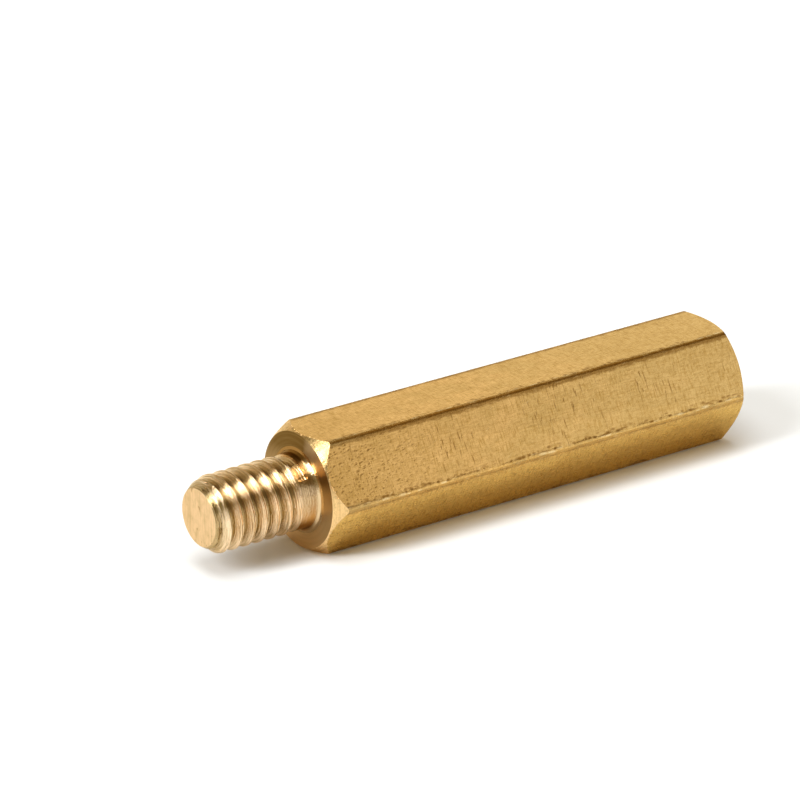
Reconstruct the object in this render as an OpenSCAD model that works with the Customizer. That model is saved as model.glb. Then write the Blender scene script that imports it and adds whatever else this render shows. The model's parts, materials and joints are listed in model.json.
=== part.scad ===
// Male-female hex standoff, turned from one length of drawn hexagonal bar.
// The bar's axis runs along X. The origin is the centre of the shoulder that the stud
// stands on: the stud points to -X, the body runs to +X and lies on one of its flats.
// The stud is drawn at the outer size of its thread, and the hole at the size of its
// tapping drill.

/* [Thread] */
// Nominal diameter of the stud's thread and of the hole's
thread_size = 4; // [3.5:0.1:5]
// Pitch of both threads
pitch = 0.7; // [0.5:0.05:0.8]
// How far the stud's crests lie inside the nominal size, on the radius
crest_clearance = 0.1; // [0:0.01:0.12]

/* [Hexagonal body] */
// Width across two opposite flats
across_flats = 5.9; // [5:0.1:12]
// Length of the body, from the shoulder to the far face
body_length = 25; // [14:0.5:60]
// How far the bar's long corners stop short of a sharp point, on the radius
corner_trim = 0.07; // [0.02:0.01:0.2]

/* [End chamfers] */
// Angle between the shoulder and the chamfer turned round it
shoulder_angle = 55; // [20:1:60]
// How far the shoulder stops short of the bar's flats
shoulder_inset = 0.04; // [0.01:0.01:0.15]
// Angle between the far face and the chamfer turned round it
far_angle = 33; // [20:1:60]
// How far the far face stops short of the bar's flats
far_inset = 0.14; // [0.01:0.01:0.25]

/* [Stud] */
// Length of the stud beyond the shoulder
stud_length = 5.7; // [4.2:0.1:14]
// Length of the plain neck between the shoulder and the thread
neck_length = 0.95; // [0.5:0.05:1.5]
// How far the neck lies below the thread's crests, on the radius
neck_depth = 0.04; // [0.02:0.01:0.2]
// Length over which the thread's crests run out into the neck
runout_length = 0.65; // [0.6:0.05:1.5]
// Radius of the fillet where the neck meets the shoulder
fillet_radius = 0.32; // [0.1:0.02:0.44]
// Length of the chamfer at the stud's tip
tip_length = 0.65; // [0.2:0.05:0.8]
// Width of the chamfer at the stud's tip, on the radius
tip_width = 0.46; // [0.2:0.02:0.7]

/* [Tapped hole] */
// Depth of the hole's straight wall, from the far face
hole_depth = 10; // [5:0.5:12]
// How far the countersink reaches outside the nominal thread, on the radius
mouth_margin = 0.1; // [0:0.01:0.15]
// Angle between the countersink's wall and the far face
mouth_angle = 45; // [30:5:60]
// Angle across the cone that the drill's point leaves
point_angle = 118; // [90:1:140]

/* [Hidden] */
$fn = 96;
brass = [0.78, 0.60, 0.30];

// The bar: from the axis to its flats, to where they would meet and to its rounded corners
flat_r = across_flats / 2;
point_r = flat_r / cos(30);
crown_r = point_r - corner_trim;

// The chamfers' cones are turned on past the corners, where nothing of the bar is left
cone_r = point_r + 0.1;
shoulder_r = flat_r - shoulder_inset;
shoulder_cone = (cone_r - shoulder_r) * tan(shoulder_angle);
far_r = flat_r - far_inset;
far_cone = (cone_r - far_r) * tan(far_angle);

// The stud, whose turned profile starts a little inside the body
crest_r = thread_size / 2 - crest_clearance;
neck_r = crest_r - neck_depth;
tip_r = crest_r - tip_width;
root_depth = 1;

// The hole, whose cutter starts a little outside the body
hole_r = (thread_size - pitch) / 2;
mouth_r = thread_size / 2 + mouth_margin;
mouth_depth = (mouth_r - hole_r) * tan(mouth_angle);
point_depth = hole_r / tan(point_angle / 2);
run_in = 0.5;

// Lays what stands on the origin along +X, with its +X side downwards
module along_x() {
  rotate([0, 90, 0])
    children();
}

// The drawn bar's section, with its corners rounded about the axis
module bar_section() {
  intersection() {
    circle(r = point_r, $fn = 6);
    circle(r = crown_r);
  }
}

// What the chamfers leave: a cylinder coned down to a flat face at each end
module chamfered_blank() {
  rotate_extrude()
    polygon([
      [0, 0],
      [shoulder_r, 0],
      [cone_r, shoulder_cone],
      [cone_r, body_length - far_cone],
      [far_r, body_length],
      [0, body_length]
    ]);
}

module body() {
  along_x()
    intersection() {
      rotate(90)
        linear_extrude(height = body_length)
          bar_section();
      chamfered_blank();
    }
}

// Half of the stud's section, from inside the body out to the tip
module stud_profile() {
  polygon([
    [0, -root_depth],
    [neck_r, -root_depth],
    [neck_r, neck_length],
    [crest_r, neck_length + runout_length],
    [crest_r, stud_length - tip_length],
    [tip_r, stud_length],
    [0, stud_length]
  ]);
}

// The concave fillet between the neck and the shoulder
module fillet_profile() {
  difference() {
    translate([neck_r - fillet_radius, -fillet_radius])
      square(2 * fillet_radius);
    translate([neck_r + fillet_radius, fillet_radius])
      circle(r = fillet_radius);
  }
}

module stud() {
  mirror([1, 0, 0])
    along_x() {
      rotate_extrude()
        stud_profile();
      rotate_extrude()
        fillet_profile();
    }
}

// What the drill and the countersink take out of the far end
module drilled_hole() {
  translate([body_length, 0, 0])
    mirror([1, 0, 0])
      along_x()
        rotate_extrude()
          polygon([
            [0, -run_in],
            [mouth_r + run_in / tan(mouth_angle), -run_in],
            [hole_r, mouth_depth],
            [hole_r, hole_depth],
            [0, hole_depth + point_depth]
          ]);
}

module hex_standoff() {
  color(brass)
    difference() {
      union() {
        body();
        stud();
      }
      drilled_hole();
    }
}

hex_standoff();
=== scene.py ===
import json
import random
from math import atan2, cos, hypot, pi, radians, sin, tan

import bpy
from mathutils import Matrix, Vector


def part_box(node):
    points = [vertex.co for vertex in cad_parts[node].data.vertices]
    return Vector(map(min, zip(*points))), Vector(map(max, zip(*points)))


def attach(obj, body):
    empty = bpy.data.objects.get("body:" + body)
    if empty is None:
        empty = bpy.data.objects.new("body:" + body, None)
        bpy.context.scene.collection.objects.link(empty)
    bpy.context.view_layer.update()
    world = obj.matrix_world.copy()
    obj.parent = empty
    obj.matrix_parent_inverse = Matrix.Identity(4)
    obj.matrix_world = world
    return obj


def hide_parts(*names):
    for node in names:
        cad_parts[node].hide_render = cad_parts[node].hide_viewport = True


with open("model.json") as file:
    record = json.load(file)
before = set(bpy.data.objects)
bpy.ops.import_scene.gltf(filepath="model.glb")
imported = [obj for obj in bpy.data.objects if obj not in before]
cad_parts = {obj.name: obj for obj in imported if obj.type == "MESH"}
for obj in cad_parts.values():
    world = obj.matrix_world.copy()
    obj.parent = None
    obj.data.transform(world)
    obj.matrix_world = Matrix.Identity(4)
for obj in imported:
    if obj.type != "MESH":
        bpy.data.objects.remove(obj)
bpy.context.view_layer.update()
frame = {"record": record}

mm = 0.001  # pieces are drawn in millimetres and brought to metres at the end
low, high = (corner / mm for corner in map(Vector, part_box("hex_standoff")))
mounts = {mount["name"]: mount for mount in frame["record"]["mounts"]}


def clearSelection():
    if bpy.context.object and bpy.context.object.mode != "OBJECT":
        bpy.ops.object.mode_set(mode="OBJECT")
    bpy.ops.object.select_all(action="DESELECT")


def activate(obj):
    clearSelection()
    obj.select_set(True)
    bpy.context.view_layer.objects.active = obj


def editAll(obj):
    activate(obj)
    bpy.ops.object.mode_set(mode="EDIT")
    bpy.ops.mesh.select_all(action="SELECT")


def applyModifiers(obj):
    activate(obj)
    for modifier in list(obj.modifiers):
        bpy.ops.object.modifier_apply(modifier=modifier.name)


def recalculate(obj):
    editAll(obj)
    bpy.ops.mesh.remove_doubles(threshold=1e-5)
    bpy.ops.mesh.normals_make_consistent(inside=False)
    bpy.ops.object.mode_set(mode="OBJECT")


def cut(obj, cutter, operation="DIFFERENCE"):
    modifier = obj.modifiers.new("cut", "BOOLEAN")
    modifier.operation = operation
    modifier.object = cutter
    modifier.solver = "MANIFOLD"
    applyModifiers(obj)
    bpy.data.objects.remove(cutter)


# Draws a line through these (x, radius) points by extruding one vertex from each to the next
def drawProfile(name, points):
    clearSelection()
    start = Vector((points[0][0], 0, points[0][1]))
    bpy.ops.mesh.primitive_plane_add(size=0.1, location=start)
    obj = bpy.context.object
    obj.name = name
    bpy.ops.object.transform_apply(location=True, rotation=True, scale=True)
    bpy.ops.object.mode_set(mode="EDIT")
    bpy.ops.mesh.select_mode(type="VERT")
    bpy.ops.mesh.select_all(action="SELECT")
    bpy.ops.mesh.merge(type="CENTER")
    for (x0, r0), (x1, r1) in zip(points, points[1:]):
        bpy.ops.mesh.extrude_region_move(TRANSFORM_OT_translate={"value": (x1 - x0, 0, r1 - r0)})
    bpy.ops.object.mode_set(mode="OBJECT")
    return obj


# A corner of a profile rounded off with an arc of this radius
def roundCorner(before, corner, after, radius, steps=3):
    corner = Vector(corner)
    inward = (Vector(before) - corner).normalized()
    outward = (Vector(after) - corner).normalized()
    half = inward.angle(outward) / 2
    middle = corner + (inward + outward).normalized() * radius / sin(half)
    first = corner + inward * radius / tan(half) - middle
    last = corner + outward * radius / tan(half) - middle
    sweep = first.angle_signed(last)
    arc = []
    for step in range(steps + 1):
        angle = -sweep * step / steps
        arc.append(middle + Vector((first.x * cos(angle) - first.y * sin(angle),
                                    first.x * sin(angle) + first.y * cos(angle))))
    return [tuple(point) for point in arc]


def roundProfile(points, radii):
    profile = [points[0]]
    for before, corner, after, radius in zip(points, points[1:], points[2:], radii[1:]):
        profile += roundCorner(before, corner, after, radius) if radius else [corner]
    return profile + [points[-1]]


# Eases from 0 to 1
def smooth(value):
    value = min(max(value, 0), 1)
    return value * value * (3 - 2 * value)


# Reads a height off a line through these (place, height) points
def between(place, points):
    for (before, lower), (after, upper) in zip(points, points[1:]):
        if place <= after:
            break
    share = min(max((place - before) / (after - before), 0), 1)
    return lower + (upper - lower) * share


bar = {
    "acrossFlats": high.z - low.z,
    "sides": 6,
    "halfSide": radians(30),  # half the angle that one side takes up
    "cornerRadius": 0.28,
    "cornerSteps": 8,
    "spare": 1.0,  # how far the bar runs on past each end before it is turned
}


def drawBar():
    flat = bar["acrossFlats"] / 2
    length = turned["length"] + turned["studLength"] + 2 * bar["spare"]
    middle = (turned["length"] - turned["studLength"]) / 2
    clearSelection()
    bpy.ops.mesh.primitive_cylinder_add(
        vertices=bar["sides"], radius=flat / cos(bar["halfSide"]), depth=length,
        location=(middle, 0, 0), rotation=(0, pi / 2, 0)
    )
    obj = bpy.context.object
    obj.name = "bar"
    bpy.ops.object.transform_apply(location=True, rotation=True, scale=True)
    bpy.ops.object.mode_set(mode="EDIT")
    bpy.ops.mesh.select_mode(type="EDGE")
    bpy.ops.mesh.select_all(action="DESELECT")
    bpy.ops.object.mode_set(mode="OBJECT")
    for edge in obj.data.edges:
        ends = [obj.data.vertices[i].co for i in edge.vertices]
        edge.select = abs(ends[0].x - ends[1].x) > length / 2
    bpy.ops.object.mode_set(mode="EDIT")
    bpy.ops.mesh.bevel(
        offset=bar["cornerRadius"] * tan(bar["halfSide"]), offset_type="OFFSET",
        segments=bar["cornerSteps"], profile=0.5
    )
    bpy.ops.object.mode_set(mode="OBJECT")
    return obj


turned = {
    "length": high.x,
    "studLength": -low.x,
    "crestRadius": mounts["stud"]["dims"]["r_mm"],
    "neckRadius": 1.86,
    "neckLength": 0.95,
    "runout": 0.3,
    "fillet": 0.29,
    "tipLength": 0.65,
    "tipWidth": 0.46,
    "tipRound": 0.1,
    "shoulderInset": 0.04,
    "shoulderAngle": radians(55),
    "farInset": 0.14,
    "farAngle": radians(33),
    "holeRadius": mounts["tapped_hole"]["dims"]["r_mm"],
    "mouthRadius": 2.1,
    "holeDepth": 10.0,
    "pointAngle": radians(118),
    "edgeBreak": 0.03,
    "shoulderBreak": 0.6,  # of the other edges' break
    "overcut": 0.1,  # how far past the bar's corners the blank reaches
    "steps": 256,
    "weld": 0.0005,  # vertices nearer than this become one at the end
    "smoothAngle": radians(24),
}


def spinBlank():
    t = turned
    flat = bar["acrossFlats"] / 2
    outer = flat / cos(bar["halfSide"]) + t["overcut"]
    tipX, farX = -t["studLength"], t["length"]
    shoulder = flat - t["shoulderInset"]
    farFace = flat - t["farInset"]
    edge = t["edgeBreak"]
    neckOut = -t["neckLength"]
    mouthX = farX - (t["mouthRadius"] - t["holeRadius"])
    bottomX = farX - t["holeDepth"]
    corners = (
        (tipX, 0, 0),
        (tipX, t["crestRadius"] - t["tipWidth"], edge),
        (tipX + t["tipLength"], t["crestRadius"], t["tipRound"]),
        (neckOut - t["runout"], t["crestRadius"], 0),
        (neckOut, t["neckRadius"], 0),
        (0, t["neckRadius"], t["fillet"]),
        (0, shoulder, edge * t["shoulderBreak"]),
        ((outer - shoulder) * tan(t["shoulderAngle"]), outer, 0),
        (farX - (outer - farFace) * tan(t["farAngle"]), outer, 0),
        (farX, farFace, edge),
        (farX, t["mouthRadius"], edge),
        (mouthX, t["holeRadius"], 0),
        (bottomX, t["holeRadius"], 0),
        (bottomX - t["holeRadius"] / tan(t["pointAngle"] / 2), 0, 0),
    )
    points = [(x, radius) for x, radius, rounding in corners]
    radii = [rounding for x, radius, rounding in corners]
    obj = drawProfile("blank", roundProfile(points, radii))
    editAll(obj)
    bpy.ops.mesh.spin(steps=t["steps"], angle=2 * pi, center=(0, 0, 0), axis=(1, 0, 0))
    bpy.ops.object.mode_set(mode="OBJECT")
    recalculate(obj)
    return obj


thread = {
    "pitch": 0.7,
    "depth": 0.42,
    "rootWidth": 0.1,
    "rootRound": 0.04,
    "crestRound": 0.02,
    "crestSteps": 4,
    "flankAngle": radians(30),
    "flankSteps": 10,
    "beside": 0.1,  # how far the cutter's section follows the stock beside the groove
    "cutPast": 0.3,
    "clear": 0.02,
    "steps": 120,  # sections in each turn
    "place": -0.70,  # where the groove's middle crosses the angle below, before it runs out
    "angle": radians(135),
    "end": radians(148),
    "lastTurn": ((-0.3, 0), (-0.05, 0.04), (0.05, 0.19), (0.3, 0), (0.39, 0)),  # beside its middle, shallower by
    "lastHalf": ((-0.3, 0), (-0.05, 0.02), (0.05, 0.085), (0.3, -0.175), (0.39, -0.115)),
    "lastTurnFrom": 1.15,  # this and the next four are in turns before the end
    "lastHalfFrom": 0.75,
    "easing": 0.3,
    "stop": 0.03,
    "seamStop": 0.6,
    "ribs": 0.022,
    "ribPitch": 0.09,
    "seamWidth": 0.1,
    "seamDepth": 0.07,
}

tapping = {
    "depth": 0.36,
    "rootWidth": 0.12,
    "flankSteps": 2,
    "reach": 8.2,
    "steps": 96,
    "fade": radians(300),
}


# Half of a cutter's section on one side of its middle line, from the bottom of the groove out past the stock
def grooveSection(radius, depth, rootWidth, steps, side):
    bottom = (rootWidth / 2, radius - side * depth)
    edge = (rootWidth / 2 + depth * tan(thread["flankAngle"]), radius)
    beside = (edge[0] + thread["beside"], radius)
    root = roundCorner((0, bottom[1]), bottom, edge, thread["rootRound"])
    crest = roundCorner(bottom, edge, beside, thread["crestRound"], thread["crestSteps"])[:-1]
    start, end = Vector(root[-1]), Vector(crest[0])
    flank = [tuple(start.lerp(end, step / steps)) for step in range(1, steps)]
    half = root + flank + crest + [(crest[-1][0], radius + side * thread["cutPast"])]
    return half + [(-x, r) for x, r in reversed(half)]


# Sweeps a section into a helix along +X. It starts above the axis, at startX
def threadCutter(name, section, startX, turns, steps):
    obj = drawProfile(name, section + section[:1])
    recalculate(obj)
    modifier = obj.modifiers.new("helix", "SCREW")
    modifier.axis = "X"
    modifier.angle = 2 * pi * turns
    modifier.screw_offset = thread["pitch"] * turns
    modifier.steps = modifier.render_steps = round(steps * turns)
    modifier.use_merge_vertices = False
    applyModifiers(obj)
    editAll(obj)
    bpy.ops.transform.translate(value=(startX, 0, 0))
    bpy.ops.mesh.fill_holes(sides=0)
    bpy.ops.object.mode_set(mode="OBJECT")
    recalculate(obj)
    return obj


# How many turns along the helix a point is
def turnsAlong(co, startX):
    part = (atan2(co.z, co.y) - pi / 2) / (2 * pi) % 1
    return part + round((co.x - startX) / thread["pitch"] - part)


def moveRadially(co, distance):
    scale = 1 + distance / hypot(co.y, co.z)
    co.y *= scale
    co.z *= scale


# Where the groove's middle last crosses the top of the stud
def grooveTop():
    return thread["place"] + thread["pitch"] * (pi / 2 - thread["angle"]) / (2 * pi)


# The groove runs out in its last turn, which is shallower and torn into fine ribs on the shoulder's side
def studGroove():
    t = thread
    before = round((grooveTop() + turned["studLength"]) / t["pitch"]) + 1
    startX = grooveTop() - before * t["pitch"]
    turns = before + (t["end"] - pi / 2) / (2 * pi)
    section = grooveSection(turned["crestRadius"], t["depth"], t["rootWidth"], t["flankSteps"], 1)
    obj = threadCutter("groove", section, startX, turns, t["steps"])
    for vertex in obj.data.vertices:
        along = turnsAlong(vertex.co, startX)
        left = turns - along
        beside = vertex.co.x - startX - t["pitch"] * along
        late = smooth((t["lastTurnFrom"] - left) / t["easing"])
        last = smooth((t["lastHalfFrom"] - left) / t["easing"])
        shape = (1 - last) * between(beside, t["lastTurn"]) + last * between(beside, t["lastHalf"])
        lift = late * shape + (t["clear"] + t["depth"]) * smooth(1 - left / t["stop"])
        if beside > 0:
            lift += late * t["ribs"] * sin(beside * 2 * pi / t["ribPitch"])
        moveRadially(vertex.co, lift)
    return obj


# The fine seam that rolling leaves along the middle of the crest
def crestSeam():
    pitch, radius = thread["pitch"], turned["crestRadius"]
    top = grooveTop() - pitch / 2
    before = round((top + turned["studLength"]) / pitch)
    half, outside = thread["seamWidth"] / 2, radius + thread["clear"]
    section = [(-half, outside), (0, radius - thread["seamDepth"]), (half, outside)]
    return threadCutter("seam", section, top - before * pitch, before - thread["seamStop"], thread["steps"])


def holeGroove():
    t = tapping
    startX = turned["length"] - t["reach"]
    turns = t["reach"] / thread["pitch"] + 1
    section = grooveSection(turned["holeRadius"], t["depth"], t["rootWidth"], t["flankSteps"], -1)
    obj = threadCutter("tapped", section, startX, turns, t["steps"])
    fade = t["fade"] / (2 * pi)
    for vertex in obj.data.vertices:
        early = 1 - turnsAlong(vertex.co, startX) / fade
        moveRadially(vertex.co, -(t["depth"] + thread["clear"]) * smooth(early))
    return obj


# Torn places: along the axis, round it in degrees, then half sizes along, round and deep, and a lean in degrees
nicks = (
    (-5.60, 97, 0.035, 0.16, 0.05, 4),
    (-5.47, 104, 0.04, 0.26, 0.05, -6),
    (-5.30, 93, 0.035, 0.18, 0.05, 3),
    (-5.22, 108, 0.03, 0.12, 0.04, 0),
    (-0.98, 133, 0.025, 0.11, 0.06, 35),
    (-0.90, 135, 0.025, 0.12, 0.06, 40),
    (-0.82, 136, 0.025, 0.12, 0.06, 35),
    (-0.74, 137, 0.022, 0.10, 0.05, 40),
    (-0.36, 128, 0.30, 0.022, 0.03, 38),
)

edgeWear = {
    "seed": 4,
    "nicks": 14,  # along each side of the shoulder's edge
    "reach": 7,  # how many of them lie in a millimetre
    "spacing": (0.2, 0.8),
    "sway": 0.03,
    "least": 0.02,
    "sizes": (0.02, 0.055),
    "stretch": 1.3,
}


# How far out the blank's surface is at this place on the stud or the shoulder
def surfaceRadius(x):
    t = turned
    if x > 0:
        return bar["acrossFlats"] / 2 - t["shoulderInset"] + x / tan(t["shoulderAngle"])
    tipRadius = t["crestRadius"] - t["tipWidth"] * max(0, 1 - (x + t["studLength"]) / t["tipLength"])
    return min(tipRadius, t["crestRadius"] if x < -t["neckLength"] else t["neckRadius"])


# One cutter out of small flattened balls, each sunk into the surface
def tornPlaces(places):
    parts = []
    for x, angle, along, around, deep, lean in places:
        clearSelection()
        bpy.ops.mesh.primitive_ico_sphere_add(subdivisions=2, radius=1)
        part = bpy.context.object
        part.matrix_world = (
            Matrix.Rotation(radians(angle), 4, "X")
            @ Matrix.Translation((x, surfaceRadius(x), 0))
            @ Matrix.Rotation(radians(lean), 4, "Y")
            @ Matrix.Diagonal((along, deep, around, 1))
        )
        parts.append(part)
    clearSelection()
    for part in parts:
        part.select_set(True)
    bpy.context.view_layer.objects.active = parts[0]
    bpy.ops.object.transform_apply(location=True, rotation=True, scale=True)
    bpy.ops.object.join()
    return bpy.context.object


# Small nicks along the edge between the shoulder's chamfer and each flat
def edgeNicks():
    w = edgeWear
    flat = bar["acrossFlats"] / 2
    slope = tan(turned["shoulderAngle"])
    places = []
    for face in range(bar["sides"]):
        for step in range(w["nicks"]):
            side = (step + random.uniform(*w["spacing"])) / w["reach"] - 1
            rise = hypot(flat, side) - flat + turned["shoulderInset"]
            x = rise * slope + random.uniform(-w["sway"], w["sway"])
            size = random.uniform(*w["sizes"])
            angle = 30 + 60 * face + atan2(side, flat) * 180 / pi
            places.append((max(x, w["least"]), angle, size, size * w["stretch"], size, 0))
    return places


def makeStandoff():
    obj = drawBar()
    obj.name = "standoff"
    cut(obj, spinBlank(), "INTERSECT")
    print("bar turned")
    cut(obj, crestSeam())
    cut(obj, studGroove())
    cut(obj, holeGroove())
    print("threads cut")
    random.seed(edgeWear["seed"])
    edges = edgeNicks()
    for places in (nicks[::2], nicks[1::2], edges[::2], edges[1::2]):  # neighbours apart, so none overlap
        cut(obj, tornPlaces(places))
    print("nicks made")
    editAll(obj)
    bpy.ops.mesh.remove_doubles(threshold=turned["weld"])
    bpy.ops.transform.resize(value=(mm, mm, mm), center_override=(0, 0, 0))
    bpy.ops.object.mode_set(mode="OBJECT")
    return obj


# Materials

finishes = {
    "drawnBrass": (0.83, 0.505, 0.18, 1),
    "oliveBrass": (0.76, 0.50, 0.185, 1),
    # painted reflection: a yellower copy of the brass for the underside
    "underside": (0.90, 0.60, 0.18, 1),
    "turnedBrass": (0.72, 0.52, 0.29, 1),
    "chamferBrass": (0.86, 0.565, 0.25, 1),
    "threadBrass": (0.93, 0.70, 0.44, 1),
    "facedBrass": (0.78, 0.535, 0.29, 1),
    # painted shade and painted light for the shoulder's ring, top and bottom
    "shoulderTop": (0.13, 0.062, 0.010, 1),
    "shoulderBottom": (0.82, 0.54, 0.25, 1),
    # used for grime, and also for painted shade
    "grime": (0.27, 0.125, 0.022, 1),
    # used for tarnish, and also for painted shade towards the bottom edge
    "tarnish": (0.50, 0.28, 0.065, 1),
    "swarf": (0.33, 0.215, 0.06, 1),
    "umber": (0.40, 0.265, 0.10, 1),
    "bright": (0.98, 0.80, 0.46, 1),
}

metal = {
    "grainTurn": 0.25,  # a quarter turn, so that highlights run across the tool marks
    "edgeTint": (0.96, 0.84, 0.64, 1),
    "noiseSpan": (0.3, 0.7),  # what noise mostly lies between
}

scatter = {
    "certain": 0.6,  # of the share: how many marks are at full strength
    "smallest": 0.4,  # of the size
    "softEdge": 0.3,
    "seedSkew": 1.7,
}


class Finish:
    def __init__(self, name, anisotropy=0.0):
        self.material = bpy.data.materials.new(name)
        self.material.use_nodes = True
        self.tree = self.material.node_tree
        self.shader = self.tree.nodes["Principled BSDF"]
        self.shader.inputs["Metallic"].default_value = 1
        self.shader.inputs["Anisotropic"].default_value = anisotropy
        self.shader.inputs["Anisotropic Rotation"].default_value = metal["grainTurn"]
        self.shader.inputs["Specular Tint"].default_value = metal["edgeTint"]
        self.place = self.add("ShaderNodeTexCoord").outputs["Object"]
        self.height = None

    def add(self, kind, **settings):
        node = self.tree.nodes.new(kind)
        for name, value in settings.items():
            setattr(node, name, value)
        return node

    def link(self, output, socket):
        self.tree.links.new(output, socket)

    def put(self, socket, value):
        if isinstance(value, bpy.types.NodeSocket):
            self.link(value, socket)
        else:
            socket.default_value = value

    # Object coordinates in millimetres, or another source, stretched and turned
    def spread(self, stretch=(1, 1, 1), turn=(0, 0, 0), source=None):
        node = self.add("ShaderNodeMapping")
        node.inputs["Scale"].default_value = [k if source else k / mm for k in stretch]
        node.inputs["Rotation"].default_value = turn
        self.link(source or self.place, node.inputs["Vector"])
        return node.outputs["Vector"]

    def noise(self, vector, detail, roughness=0.5):
        node = self.add("ShaderNodeTexNoise")
        self.link(vector, node.inputs["Vector"])
        node.inputs["Scale"].default_value = 1
        node.inputs["Detail"].default_value = detail
        node.inputs["Roughness"].default_value = roughness
        return node.outputs["Fac"]

    def remap(self, value, start, end, toStart=0.0, toEnd=1.0):
        node = self.add("ShaderNodeMapRange", clamp=True)
        for name, number in zip(("From Min", "From Max", "To Min", "To Max"), (start, end, toStart, toEnd)):
            node.inputs[name].default_value = number
        self.link(value, node.inputs["Value"])
        return node.outputs["Result"]

    # Noise made to run from one number to another
    def sway(self, noise, toStart, toEnd):
        return self.remap(noise, *metal["noiseSpan"], toStart, toEnd)

    def math(self, operation, first, second=0.0):
        node = self.add("ShaderNodeMath", operation=operation)
        for socket, value in zip(node.inputs, (first, second)):
            self.put(socket, value)
        return node.outputs[0]

    def mix(self, factor, first, second):
        node = self.add("ShaderNodeMix", data_type="RGBA")
        for socket, value in zip((node.inputs[0], node.inputs[6], node.inputs[7]), (factor, first, second)):
            self.put(socket, value)
        return node.outputs[2]

    def times(self, *values):
        product = values[0]
        for value in values[1:]:
            product = self.math("MULTIPLY", product, value)
        return product

    def combine(self, x, y, z=0.0):
        node = self.add("ShaderNodeCombineXYZ")
        for socket, value in zip(node.inputs, (x, y, z)):
            self.put(socket, value)
        return node.outputs[0]

    # How far along the axis, how high, how far from the axis, and round it: in millimetres and turns
    def polar(self):
        parts = self.add("ShaderNodeSeparateXYZ")
        self.link(self.spread(), parts.inputs[0])
        x, y, z = parts.outputs
        radius = self.math("SQRT", self.math("ADD", self.math("MULTIPLY", y, y), self.math("MULTIPLY", z, z)))
        turn = self.math("DIVIDE", self.math("ARCTAN2", z, y), 2 * pi)
        return x, z, radius, turn

    # Highlights follow the tool's rings round the axis
    def ringTangent(self):
        node = self.add("ShaderNodeTangent", direction_type="RADIAL", axis="X")
        self.link(node.outputs[0], self.shader.inputs["Tangent"])

    def moved(self, across, along, lean, seed):
        mapping = self.add("ShaderNodeMapping")
        mapping.inputs["Location"].default_value = (seed, seed * scatter["seedSkew"], 0)
        mapping.inputs["Rotation"].default_value = (0, 0, lean)
        self.link(self.combine(across, along), mapping.inputs["Vector"])
        return mapping.outputs["Vector"]

    # Short marks scattered one to a cell: sizes in millimetres, share is how many of the cells have one
    def marks(self, across, along, cell, size, share, lean=0.0, seed=0.0):
        place = self.spread((1 / cell[0], 1 / cell[1], 1), source=self.moved(across, along, lean, seed))
        node = self.add("ShaderNodeTexVoronoi", voronoi_dimensions="2D")
        node.inputs["Scale"].default_value = 1
        self.link(place, node.inputs["Vector"])
        offset = self.add("ShaderNodeVectorMath", operation="SUBTRACT")
        self.link(place, offset.inputs[0])
        self.link(node.outputs["Position"], offset.inputs[1])
        parts = self.add("ShaderNodeSeparateXYZ")
        self.link(offset.outputs[0], parts.inputs[0])
        chance = self.add("ShaderNodeSeparateColor")
        self.link(node.outputs["Color"], chance.inputs[0])
        mark = self.remap(chance.outputs[0], share, scatter["certain"] * share)
        for part, cellSize, halfSize, luck in zip(parts.outputs, cell, size, chance.outputs[1:]):
            distance = self.math("ABSOLUTE", self.math("MULTIPLY", part, cellSize))
            reach = self.math("DIVIDE", distance, self.remap(luck, 0, 1, scatter["smallest"] * halfSize, halfSize))
            mark = self.times(mark, self.remap(reach, 1, scatter["softEdge"]))
        return mark

    # A bump on top of those before it
    def raiseBump(self, height, distance):
        node = self.add("ShaderNodeBump")
        node.inputs["Distance"].default_value = distance * mm
        self.link(height, node.inputs["Height"])
        if self.height:
            self.link(self.height, node.inputs["Normal"])
        self.height = node.outputs["Normal"]

    def finish(self, color, roughness):
        self.put(self.shader.inputs["Base Color"], color)
        self.put(self.shader.inputs["Roughness"], roughness)
        if self.height:
            self.link(self.height, self.shader.inputs["Normal"])
        return self.material


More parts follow.
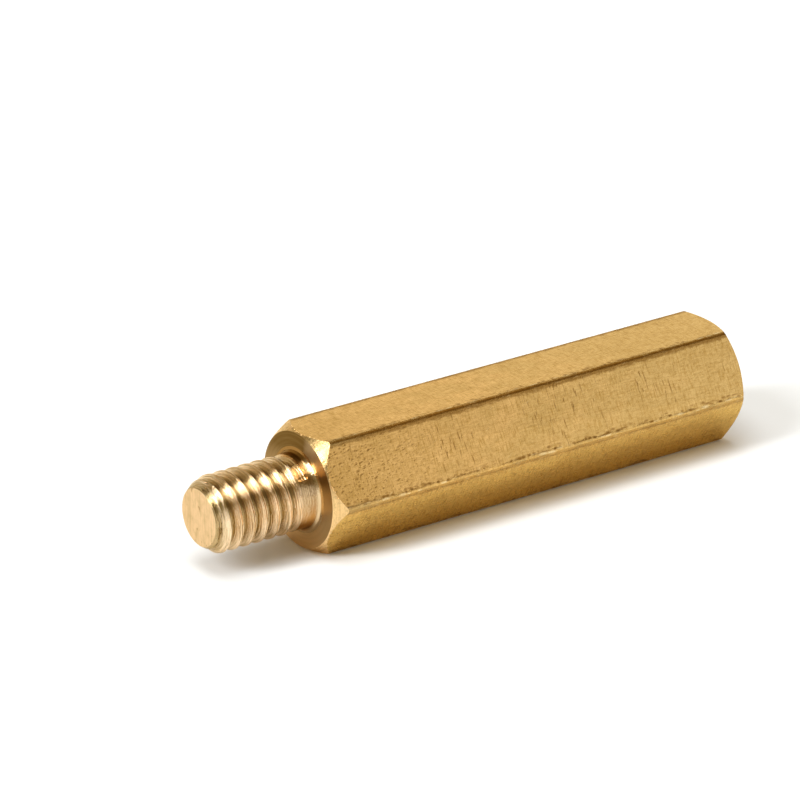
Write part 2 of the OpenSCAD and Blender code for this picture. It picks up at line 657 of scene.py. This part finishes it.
drawn = {
    "roughness": (0.17, 0.32),
    "flatHalf": (bar["acrossFlats"] / 2 - bar["cornerRadius"]) * tan(bar["halfSide"]),
    "layStep": 9.3,  # how far apart the flats are laid out
    # Each noise: how fine it is along the bar, round it and through it, then its detail and roughness
    "skin": ((5, 7, 7), 3, 0.6),
    "across": ((13, 1.6, 1), 3, 0.6),
    "along": ((1.5, 11, 1), 3, 0.6),
    "mottle": ((0.5, 0.9, 0.9), 4, 0.6),
    "ragged": ((2.2, 5, 5), 4, 0.7),
    "patchy": ((0.9, 5, 5), 4, 0.7),
    "slant": ((1.0, 17, 1), 3, 0.6),
    "clusters": ((0.33, 0.2, 1), 1, 0.5),
    "bend": ((0.9, 1, 1), 2, 0.5),
    "slantAngle": radians(-48),
    "heights": {"skin": 0.003, "across": 0.0045, "along": 0.003, "patchy": 0.02},
    # Tarnish, and painted shade towards the bottom edge: where each starts, where it is full, and how strong it is
    # there
    "tarnish": {
        "mottle": (0.35, 0.75, 0.4),
        "skin": (0.42, 0.7, 0.3),
        "across": (0.5, 0.7, 0.9),
        "along": (0.52, 0.72, 0.55),
        "x": (4.5, 0.5, 0.2),
        # painted shade, not tarnish: darker towards the bottom edge
        "z": (-0.8, -3.0, 0.5),
    },
    "olive": (6, 18),  # from here to here along the bar it turns olive
    "oliveSway": 6,
    # Painted reflection: in the height range next, a yellower copy of the brass takes over on the underside
    "below": (0.2, -0.6),  # from here to here in height the underside's colour takes over
    "lying": (2.9, 2.94),  # only the top and the bottom flat are this far out
    "raggedSway": 0.09,
    "corner": (0.02, -0.1),
    "cornerTarnish": 0.25,
    "patches": (0.48, 0.6),
    "patchStrength": 0.6,
    "stainAlong": (4.0, 0.8),
    "stainAside": (0.16, -0.02),
    "stainStrength": 0.6,
    # Painted shade under the corners, stronger under the upper ones
    "fringeAside": (0.17, 0.05),
    "fringeSide": (0, -0.1),
    "fringeStrength": (0.72, 0.1),  # above and below
    "rubbed": (0.52, 0.7),
    "rubbedStrength": 0.6,
    "pitted": (1.0, 7.0),  # from here to here along the bar the pits thin out
    "pittedSway": 2,
    "pitsFar": 0.12,
    "pitsLying": 0.15,
    "clustered": (0.48, 0.62),
    "apart": 0.04,
    "clustersBelow": 0.3,
    "clustersLying": 0.35,
    "onFlat": (-0.05, 0.05),
    "foldSway": 0.05,
    "foldSide": (0, 0.1, 0.25),
    "foldWidth": (0.1, 0.03),
    "markSeeds": (3.1, 1),
    "foldSeeds": (4.3, 2),
}

# Pits and scratches: cell, half size, share of the cells, lean, where, strength, finish and depth
markKinds = (
    ((0.34, 0.25), (0.16, 0.09), 0.6, 0.3, "near", 0.52, "grime", 0.005),
    ((0.19, 0.15), (0.09, 0.06), 0.5, 0.3, "near", 0.48, "grime", 0.004),
    ((0.19, 1.3), (0.06, 0.5), 0.5, 0.06, "cluster", 0.8, "grime", 0.004),
    ((0.25, 0.8), (0.05, 0.36), 0.45, -0.1, "cluster", 0.8, "grime", 0.004),
    ((2.5, 0.5), (1.0, 0.02), 0.25, 0.02, "anywhere", 0.3, "grime", 0),
    ((0.9, 0.7), (0.3, 0.018), 0.2, 0.5, "anywhere", 0.3, "bright", 0),
)

# Broken lines along the folds: how far in from the fold, cell, half size, share, strength and finish
foldLines = (
    (0.05, (0.9, 0.3), (0.75, 0.18), 0.75, 0.75, "grime"),
    (0.03, (0.27, 0.3), (0.19, 0.22), 0.65, 0.95, "grime"),
    (0.16, (0.33, 0.3), (0.24, 0.16), 0.5, 0.7, "grime"),
    (-0.06, (0.5, 0.3), (0.35, 0.12), 0.6, 0.5, "bright"),
)


def makeDrawnBrass():
    d = drawn
    f = Finish("drawn_brass")
    x, z, radius, turn = f.polar()

    # The flats laid out side by side: side is how far across its own flat a point is
    sector = f.math("ADD", f.math("MULTIPLY", turn, bar["sides"]), bar["sides"])
    angle = f.math("MULTIPLY", f.math("SUBTRACT", f.math("FRACT", sector), 0.5), pi / 3)
    side = f.math("MULTIPLY", radius, f.math("SINE", angle))
    laid = f.math("ADD", side, f.math("MULTIPLY", f.math("FLOOR", sector), d["layStep"]))
    aside = f.math("SUBTRACT", d["flatHalf"], f.math("ABSOLUTE", side))
    sheet = f.combine(x, laid)

    def grain(name, source=None, lean=0.0):
        stretch, detail, roughness = d[name]
        return f.noise(f.spread(stretch, (0, 0, lean), source), detail, roughness)

    # A matt skin, with finer lines across the bar than along it
    skin, mottle = grain("skin"), grain("mottle")
    across, along = grain("across", sheet), grain("along", sheet)
    below = f.remap(z, *d["below"])
    olive = f.remap(f.math("ADD", x, f.sway(mottle, -d["oliveSway"], d["oliveSway"])), *d["olive"])
    color = f.mix(olive, finishes["drawnBrass"], finishes["oliveBrass"])
    # Painted reflection and shade: the underside takes a yellower copy of the brass, and the table's z entry
    # darkens it towards the bottom edge
    color = f.mix(below, color, finishes["underside"])
    tarnishAndShadeSources = {"mottle": mottle, "skin": skin, "across": across, "along": along, "x": x, "z": z}
    for name, value in tarnishAndShadeSources.items():
        start, full, strength = d["tarnish"][name]
        color = f.mix(f.remap(value, start, full, 0, strength), color, finishes["tarnish"])
    for name, value in (("skin", skin), ("across", across), ("along", along)):
        f.raiseBump(value, d["heights"][name])

    # The rounded corners never touch anything flat, so they keep a browner skin
    ragged = f.math("ADD", aside, f.sway(grain("ragged"), -d["raggedSway"], d["raggedSway"]))
    corner = f.remap(ragged, *d["corner"])
    color = f.mix(f.math("MULTIPLY", corner, d["cornerTarnish"]), color, finishes["tarnish"])
    patchy = grain("patchy")
    color = f.mix(f.times(f.remap(patchy, *d["patches"]), corner, d["patchStrength"]), color, finishes["umber"])
    f.raiseBump(f.math("MULTIPLY", patchy, corner), d["heights"]["patchy"])

    # Painted shade hangs under the upper corners, and a stain lies along all of them next to the shoulder
    stain = f.times(f.remap(x, *d["stainAlong"]), f.remap(ragged, *d["stainAside"]))
    shadeFringe = f.times(f.remap(ragged, *d["fringeAside"]), f.remap(side, *d["fringeSide"]),
                     f.remap(below, 0, 1, *d["fringeStrength"]))
    color = f.mix(shadeFringe, color, finishes["grime"])
    color = f.mix(f.math("MULTIPLY", stain, d["stainStrength"]), color, finishes["umber"])

    # Hairlines rubbed slantwise over the top and the bottom
    lying = f.remap(f.math("ABSOLUTE", z), *d["lying"])
    rubbed = f.times(f.remap(grain("slant", sheet, d["slantAngle"]), *d["rubbed"]), lying)
    color = f.mix(f.math("MULTIPLY", rubbed, d["rubbedStrength"]), color, finishes["tarnish"])

    # Pits, close together next to the shoulder, and scratches across the bar, in clusters
    pitted = f.remap(f.math("ADD", x, f.sway(mottle, -d["pittedSway"], d["pittedSway"])), *d["pitted"])
    places = {
        "near": f.times(f.remap(pitted, 0, 1, 1, d["pitsFar"]), f.remap(lying, 0, 1, 1, d["pitsLying"])),
        "cluster": f.times(f.remap(grain("clusters", sheet), *d["clustered"], d["apart"], 1),
                           f.remap(below, 0, 1, 1, d["clustersBelow"]),
                           f.remap(lying, 0, 1, 1, d["clustersLying"])),
        "anywhere": 1,
    }
    flat = f.remap(aside, *d["onFlat"])
    step, first = d["markSeeds"]
    for number, (cell, size, share, lean, where, strength, finish, depth) in enumerate(markKinds):
        mark = f.times(f.marks(x, laid, cell, size, share, lean, step * number + first), flat, places[where])
        color = f.mix(f.math("MULTIPLY", mark, strength), color, finishes[finish])
        if depth:
            f.raiseBump(f.math("SUBTRACT", 1, mark), depth)

    # Where a rounded corner joins the flats: broken lines of grime, worn bright beside them
    fold = f.math("ADD", aside, f.sway(grain("bend"), -d["foldSway"], d["foldSway"]))
    oneSide = f.remap(side, *d["foldSide"], 1)
    step, first = d["foldSeeds"]
    for number, (middle, cell, size, share, strength, finish) in enumerate(foldLines):
        line = f.remap(f.math("ABSOLUTE", f.math("SUBTRACT", fold, middle)), *d["foldWidth"])
        dashes = f.marks(x, laid, cell, size, share, seed=step * number + first)
        mark = f.times(line, dashes, oneSide, strength)
        color = f.mix(mark, color, finishes[finish])
    return f.finish(color, f.sway(skin, *d["roughness"]))


neck = {
    "anisotropy": 0.25,
    "roughness": (0.11, 0.23),
    "ringHeight": 0.006,
    "speckHeight": 0.008,
    "rings": 0.5,
    "specks": 0.5,
    "speckEdge": 0.55,
    "topWear": 0.0,
}

chamfers = {
    "anisotropy": 0.5,
    "roughness": (0.24, 0.36),
    "ringHeight": 0.008,
    "speckHeight": 0.014,
    "rings": 0.4,
    "specks": 0.75,
    "speckEdge": 0.5,
    # painted shade on the top of the chamfers
    "topWear": 0.5,
}

# What the neck and the chamfers have in common: places run from where a thing starts to where it is full
toolMarks = {
    "ringGrain": 13,
    "ringBend": 4,
    "ringEdges": (0.42, 0.7),
    "speckGrain": (8, 8, 8),
    "speckSpan": 0.12,
    "speckHeights": (-0.5, 1.5, 0.3),
    # Painted shade: at the top of the chamfers, on the corner beside the shoulder, and in two bands on the neck
    "wornHeights": (1.2, 2.2),
    "wornTurns": (0.26, 0.29),
    "dirtAlong": (-0.5, -0.25),
    "dirtOut": (2.5, 2.25),
    "dirtTurns": (0.325, 0.295),
    "dirtHeights": (0, 0.8),
    "dirt": 0.95,
    "neckOut": (2.0, 1.9),
    "streakAt": 0.39,
    "streakWidth": (0.055, 0.02),
    "streak": 0.4,
    "underHeights": (-0.6, -1.2),
    "under": 0.6,
}


# Fine rings left by the tool, with specks; painted shade darkens the tops, the corner beside the shoulder and two
# bands on the neck
def makeTurnedBrass(name, color, look):
    t = toolMarks
    f = Finish(name, look["anisotropy"])
    f.ringTangent()
    x, z, radius, turn = f.polar()
    fine = t["ringGrain"]
    rings = f.noise(f.combine(f.math("MULTIPLY", x, fine), f.math("MULTIPLY", radius, fine),
                              f.math("MULTIPLY", turn, t["ringBend"])), 4, 0.65)
    specks = f.noise(f.spread(t["speckGrain"]), 3, 0.6)
    f.raiseBump(rings, look["ringHeight"])
    f.raiseBump(specks, look["speckHeight"])
    color = f.mix(f.remap(rings, *t["ringEdges"], 0, look["rings"]), color, finishes["umber"])
    spots = f.times(f.remap(specks, look["speckEdge"], look["speckEdge"] + t["speckSpan"]),
                    f.remap(z, *t["speckHeights"], 1))
    color = f.mix(f.math("MULTIPLY", spots, look["specks"]), color, finishes["umber"])
    # Painted shade: the top of the chamfers darkened towards umber
    topShadeMask = f.times(f.remap(z, *t["wornHeights"]), f.remap(turn, *t["wornTurns"]))
    color = f.mix(f.math("MULTIPLY", topShadeMask, look["topWear"]), color, finishes["umber"])
    # Painted shade: the corner beside the shoulder darkened at the top
    dirt = f.times(f.remap(x, *t["dirtAlong"]), f.remap(radius, *t["dirtOut"]), f.remap(turn, *t["dirtTurns"]),
                   f.remap(z, *t["dirtHeights"]))
    color = f.mix(f.math("MULTIPLY", dirt, t["dirt"]), color, finishes["grime"])

    # Painted shade on the neck: a brown band high on the front and one underneath
    onNeck = f.remap(radius, *t["neckOut"])
    streak = f.remap(f.math("ABSOLUTE", f.math("SUBTRACT", turn, t["streakAt"])), *t["streakWidth"])
    under = f.remap(z, *t["underHeights"])
    color = f.mix(f.times(streak, onNeck, t["streak"]), color, finishes["grime"])
    color = f.mix(f.times(under, onNeck, t["under"]), color, finishes["grime"])
    return f.finish(color, f.sway(rings, *look["roughness"]))


shoulder = {
    "anisotropy": 0.3,
    "roughness": 0.32,
    "ringGrain": 8,
    "ringBend": 6,
    "ringHeight": 0.005,
    # Painted shade and light: from here to here in height the ring goes from lit at the bottom to shaded at the
    # top
    "heights": (-2.4, 1.8),
    "rings": (0.4, 0.7, 0, 0.2),
    # A painted highlight patch of turned brass and a band of painted shade across the ring
    "patches": ((0.345, 0.07, 0.6, "turnedBrass"), (0.415, 0.03, 0.4, "grime")),  # turn, width, strength, finish
    "patchCore": 0.2,
}


# The shoulder's flat ring: painted shade at its top, painted light at its bottom, a painted highlight patch and a
# band of painted shade
def makeShoulderBrass():
    s = shoulder
    f = Finish("shoulder_brass", s["anisotropy"])
    f.ringTangent()
    _, z, radius, turn = f.polar()
    rings = f.noise(f.combine(f.math("MULTIPLY", radius, s["ringGrain"]),
                              f.math("MULTIPLY", turn, s["ringBend"])), 4, 0.6)
    f.raiseBump(rings, s["ringHeight"])
    # Painted shade at the top of the ring, painted light at its bottom
    color = f.mix(f.remap(z, *s["heights"]), finishes["shoulderBottom"], finishes["shoulderTop"])
    color = f.mix(f.remap(rings, *s["rings"]), color, finishes["umber"])
    # A painted highlight patch, and a band of painted shade
    for middle, width, strength, finish in s["patches"]:
        distance = f.math("ABSOLUTE", f.math("SUBTRACT", turn, middle))
        patch = f.remap(distance, width, s["patchCore"] * width, 0, strength)
        color = f.mix(patch, color, finishes[finish])
    return f.finish(color, s["roughness"])


tip = {
    "anisotropy": 0.3,
    "roughness": 0.34,
    "lineGrain": (1, 9, 0.6),
    "lineLean": radians(6),
    "lineHeight": 0.012,
    "lines": (0.48, 0.7, 0, 0.5),
    "cloudGrain": (1, 2.5, 2),
    "cloud": (0.45, 0.7, 0, 0.35),
    "pitGrain": (1, 4.5, 3),
    "pits": (0.66, 0.72),
    "pitStrength": 0.6,
}


# The tip was parted off, so its marks are nearly straight
def makeTipBrass():
    f = Finish("faced_brass", tip["anisotropy"])
    lines = f.noise(f.spread(tip["lineGrain"], (tip["lineLean"], 0, 0)), 3, 0.6)
    cloud = f.noise(f.spread(tip["cloudGrain"]), 4, 0.65)
    f.raiseBump(lines, tip["lineHeight"])
    color = f.mix(f.remap(lines, *tip["lines"]), finishes["facedBrass"], finishes["umber"])
    color = f.mix(f.remap(cloud, *tip["cloud"]), color, finishes["umber"])
    pits = f.remap(f.noise(f.spread(tip["pitGrain"]), 2), *tip["pits"])
    color = f.mix(f.math("MULTIPLY", pits, tip["pitStrength"]), color, finishes["grime"])
    return f.finish(color, tip["roughness"])


threadMarks = {
    "anisotropy": 0.45,
    "roughness": (0.09, 0.22),
    "lineGrain": 15,
    "lineBend": 7,
    "lineHeight": 0.045,
    "lines": (0.44, 0.66, 0, 0.85),
    "ridgeGrain": 6,
    "ridgeAlong": (-5.1, -5.4),  # only the tip has them
    "ridgeHeight": 0.16,
    # The root darkened: swarf colour, partly painted shade in the hollow
    "root": (1.72, 1.54),
    "rootStrength": 0.7,
}


# Tool lines that follow the thread, with swarf in the root that also serves as painted shade in the hollow
def makeThreadBrass():
    t = threadMarks
    f = Finish("thread_brass", t["anisotropy"])
    f.ringTangent()
    x, _, radius, turn = f.polar()
    climb = f.math("SUBTRACT", x, f.math("MULTIPLY", turn, thread["pitch"]))
    fine, coarse = t["lineGrain"], t["ridgeGrain"]
    lines = f.noise(f.combine(f.math("MULTIPLY", climb, fine), f.math("MULTIPLY", radius, fine),
                              f.math("MULTIPLY", turn, t["lineBend"])), 4, 0.65)
    f.raiseBump(lines, t["lineHeight"])
    ridges = f.noise(f.combine(f.math("MULTIPLY", x, coarse), f.math("MULTIPLY", radius, coarse), turn), 2)
    f.raiseBump(f.times(ridges, f.remap(x, *t["ridgeAlong"])), t["ridgeHeight"])
    color = f.mix(f.remap(lines, *t["lines"]), finishes["threadBrass"], finishes["umber"])
    # Swarf in the root, also standing in as painted shade in the hollow
    root = f.remap(radius, *t["root"])
    color = f.mix(f.math("MULTIPLY", root, t["rootStrength"]), color, finishes["swarf"])
    return f.finish(color, f.sway(lines, *t["roughness"]))


# Where one finish ends and the next begins, in millimetres and by how far a face looks along the axis
borders = {
    "end": 0.005,
    "threadRadius": 1.95,
    "ringFacing": 0.98,
    "flatFacing": 0.02,
    "flatRadius": 2.6,
    "neckRadius": 2.4,
}


def finishOf(x, radius, facing):
    b = borders
    if x < b["end"] - turned["studLength"]:
        return "tip"
    if x < -turned["neckLength"] and radius < b["threadRadius"]:
        return "thread"
    if abs(x) < b["end"] and facing < -b["ringFacing"]:
        return "shoulder"
    if abs(facing) < b["flatFacing"] and radius > b["flatRadius"]:
        return "drawn"
    return "neck" if x < b["end"] and radius < b["neckRadius"] else "chamfer"


def assignFinishes(obj):
    obj.data.materials.clear()
    materials = {
        "drawn": makeDrawnBrass(),
        "neck": makeTurnedBrass("neck_brass", finishes["turnedBrass"], neck),
        "chamfer": makeTurnedBrass("chamfer_brass", finishes["chamferBrass"], chamfers),
        "thread": makeThreadBrass(),
        "tip": makeTipBrass(),
        "shoulder": makeShoulderBrass(),
    }
    for material in materials.values():
        obj.data.materials.append(material)
    order = list(materials)
    for face in obj.data.polygons:
        center = face.center
        name = finishOf(center.x / mm, hypot(center.y, center.z) / mm, face.normal.x)
        face.material_index = order.index(name)
    print("finishes made")


# Camera, lights and floor

camera = {
    "azimuth": -35.80,
    "elevation": 23.857,
    "roll": 0.8276,
    "distance": 45.7925,  # this and the next two are in widths across the flats
    "right": -0.8969,
    "up": 0.2514,
    "lens": 247.5,
    "clip": (0.01, 10),
}


def aimCamera():
    azimuth, elevation, roll = (radians(camera[name]) for name in ("azimuth", "elevation", "roll"))
    back = Vector((sin(azimuth) * cos(elevation), -cos(azimuth) * cos(elevation), sin(elevation)))
    right = Vector((cos(azimuth), sin(azimuth), 0))
    up = back.cross(right)
    right, up = right * cos(roll) + up * sin(roll), up * cos(roll) - right * sin(roll)
    unit = bar["acrossFlats"] * mm
    target = Vector((turned["length"] / 2 * mm, 0, 0))
    place = target + unit * (back * camera["distance"] + right * camera["right"] + up * camera["up"])
    bpy.ops.object.camera_add(location=place, rotation=Matrix((right, up, back)).transposed().to_euler())
    obj = bpy.context.object
    obj.data.lens = camera["lens"]
    obj.data.clip_start, obj.data.clip_end = camera["clip"]
    bpy.context.scene.camera = obj


studio = {
    "boxPlace": (-0.495, 0.005, 0.356),
    "boxAlong": (0.30, -0.20, 0.40),
    "boxSize": (0.13, 0.36),
    "boxPower": 3.1,
    "topPlace": (-0.09, -0.06, 0.59),
    "topAlong": (1, 0, 0),
    "topSize": (0.42, 0.42),
    "topPower": 2.8,
    "lightColor": (0.90, 0.95, 1.0),
    "floor": (0.87, 0.87, 0.88, 1),
    "floorSize": 1.2,
    "floorRoughness": 0.9,
    "floorShine": 0.1,
}

# The room's colours, and where each starts and is full: in height from 0 at the floor to 1 overhead, and
# in how far round, from -1 to 1
sky = {
    "dim": (0.27, 0.225, 0.115, 1),
    "backSweep": 1.09,
    "frontSweep": 1.08,
    "backHeights": (0.47, 0.63),
    "frontHeights": (0.40, 0.56),
    "sweepEnds": (-0.05, 0.2),  # toward the stud's end, at -1
    "sweepMiddle": (-0.4, 0.4),  # where the front sweep gives way to the back one
    "ceiling": (0.33, 0.215, 0.055, 1),
    "ceilingRound": (0.1, 0.35),
    "ceilingHeights": (0.55, 0.8),
    "backLeft": (0.64, 0.54, 0.35, 1),
    "backLeftRound": (0.15, 0.55),
    "backLeftHeights": (0.40, 0.65),
    "horizon": (0.85, 0.84, 0.82, 1),
    "horizonHeights": (0.13, 0.22),
}


# A light that faces the object, its long side turned along a direction
def softbox(name, place, along, size, power):
    facing = Vector(place).normalized()
    up = (Vector(along) - facing * facing.dot(Vector(along))).normalized()
    turn = Matrix((up.cross(facing), up, facing)).transposed().to_euler()
    bpy.ops.object.light_add(type="AREA", location=place, rotation=turn)
    light = bpy.context.object
    light.name = name
    light.data.shape = "RECTANGLE"
    light.data.size, light.data.size_y = size
    light.data.energy = power
    light.data.color = studio["lightColor"]


# The room: dim and warm, with a white sweep round the far end, low down
def makeSky():
    world = bpy.data.worlds.new("studio")
    world.use_nodes = True
    tree = world.node_tree
    background = tree.nodes["Background"]
    background.inputs["Strength"].default_value = 1
    direction = tree.nodes.new("ShaderNodeTexCoord").outputs["Generated"]
    parts = tree.nodes.new("ShaderNodeSeparateXYZ")
    tree.links.new(direction, parts.inputs[0])

    def ramp(source, start, end, toStart, toEnd):
        node = tree.nodes.new("ShaderNodeMapRange")
        node.interpolation_type = "SMOOTHSTEP"
        for name, number in zip(("From Min", "From Max", "To Min", "To Max"), (start, end, toStart, toEnd)):
            node.inputs[name].default_value = number
        tree.links.new(source, node.inputs["Value"])
        return node.outputs["Result"]

    def blend(share, first, second):
        node = tree.nodes.new("ShaderNodeMix")
        node.data_type = "RGBA"
        for socket, value in zip((node.inputs[0], node.inputs[6], node.inputs[7]), (share, first, second)):
            if isinstance(value, bpy.types.NodeSocket):
                tree.links.new(value, socket)
            else:
                socket.default_value = value
        return node.outputs[2]

    def both(first, second):
        node = tree.nodes.new("ShaderNodeMath")
        node.operation = "MULTIPLY"
        tree.links.new(first, node.inputs[0])
        tree.links.new(second, node.inputs[1])
        return node.outputs[0]

    x, y, z = parts.outputs
    front, back = ((value, value, value, 1) for value in (sky["frontSweep"], sky["backSweep"]))
    farEnd = ramp(x, *sky["sweepEnds"], 0, 1)
    frontShare = both(both(ramp(z, *sky["frontHeights"], 1, 0), farEnd), ramp(y, *sky["sweepMiddle"], 1, 0))
    backShare = both(both(ramp(z, *sky["backHeights"], 1, 0), farEnd), ramp(y, *sky["sweepMiddle"], 0, 1))
    ceilingShare = both(ramp(x, *sky["ceilingRound"], 0, 1), ramp(z, *sky["ceilingHeights"], 0, 1))
    leftShare = both(ramp(y, *sky["backLeftRound"], 0, 1), ramp(z, *sky["backLeftHeights"], 1, 0))
    color = blend(ceilingShare, sky["dim"], sky["ceiling"])
    color = blend(leftShare, color, sky["backLeft"])
    color = blend(ramp(z, *sky["horizonHeights"], 1, 0), color, sky["horizon"])
    color = blend(backShare, blend(frontShare, color, front), back)
    tree.links.new(color, background.inputs["Color"])
    return world


def makeStudio():
    clearSelection()
    bpy.ops.mesh.primitive_plane_add(size=studio["floorSize"], location=(0, 0, low.z * mm))
    floor = bpy.context.object
    floor.name = "floor"
    material = bpy.data.materials.new("pale_floor")
    material.use_nodes = True
    shader = material.node_tree.nodes["Principled BSDF"]
    shader.inputs["Base Color"].default_value = studio["floor"]
    shader.inputs["Roughness"].default_value = studio["floorRoughness"]
    shader.inputs["Specular IOR Level"].default_value = studio["floorShine"]
    floor.data.materials.append(material)
    for name in ("box", "top"):
        softbox(name, *(studio[name + part] for part in ("Place", "Along", "Size", "Power")))
    bpy.context.scene.world = makeSky()
    bpy.context.scene.view_settings.view_transform = "Standard"
    print("studio made")


aimCamera()
standoff = makeStandoff()
assignFinishes(standoff)
activate(standoff)
bpy.ops.object.shade_smooth_by_angle(angle=turned["smoothAngle"])
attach(standoff, "root")
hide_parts("hex_standoff")
print("standoff made")
makeStudio()
